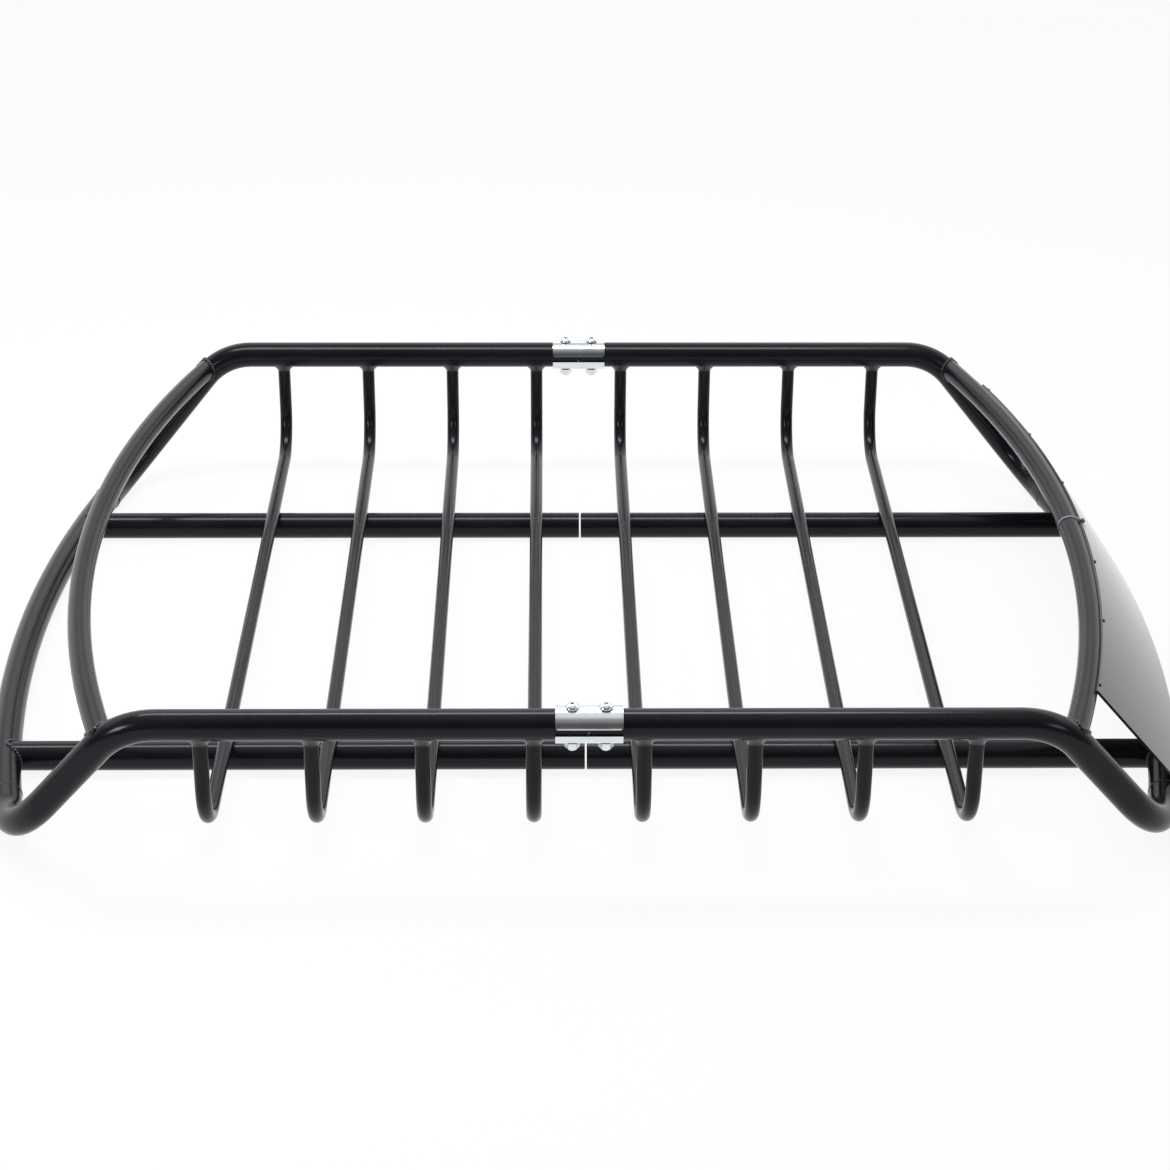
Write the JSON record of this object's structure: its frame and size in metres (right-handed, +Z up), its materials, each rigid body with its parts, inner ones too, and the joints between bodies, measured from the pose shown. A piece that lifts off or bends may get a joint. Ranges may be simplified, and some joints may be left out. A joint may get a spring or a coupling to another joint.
{
  "type": "roof basket",
  "caption": "Open steel-tube roof basket in two clamped halves, with bowed ends, U-shaped cross bars on round base rails and a wind fairing at the front end.",
  "frame": {"origin": "middle of the basket in plan, on the plane that the base rails stand on", "axes": "+X to the front end with the wind fairing, +Y across, +Z up out of the basket"},
  "size_m": [1.1827, 0.913, 0.171],
  "materials": {
    "frame_paint": "semi-gloss black powder coat",
    "zinc": "bright zinc plate",
    "fairing_sheet": "black moulded sheet with a slight sheen"
  },
  "bodies": {
    "root": {"side_rail_rear_near": "frame_paint", "side_rail_rear_far": "frame_paint", "side_rail_front_near": "frame_paint", "side_rail_front_far": "frame_paint", "base_rail_rear_near": "frame_paint", "base_rail_rear_far": "frame_paint", "base_rail_front_near": "frame_paint", "base_rail_front_far": "frame_paint", "lower_bow_rear": "frame_paint", "lower_bow_front": "frame_paint", "upper_bow_rear": "frame_paint", "upper_bow_front": "frame_paint", "cross_bar_1": "frame_paint", "cross_bar_2": "frame_paint", "cross_bar_3": "frame_paint", "cross_bar_4": "frame_paint", "cross_bar_5": "frame_paint", "cross_bar_6": "frame_paint", "cross_bar_7": "frame_paint", "cross_bar_8": "frame_paint", "clamp_near_upper": "zinc", "clamp_near_lower": "zinc", "clamp_far_upper": "zinc", "clamp_far_lower": "zinc", "clamp_near_screw_rear": "zinc", "clamp_near_screw_front": "zinc", "clamp_near_nut_rear": "zinc", "clamp_near_nut_front": "zinc", "clamp_far_screw_rear": "zinc", "clamp_far_screw_front": "zinc", "clamp_far_nut_rear": "zinc", "clamp_far_nut_front": "zinc", "fairing": "fairing_sheet"}
  },
  "joints": []
}
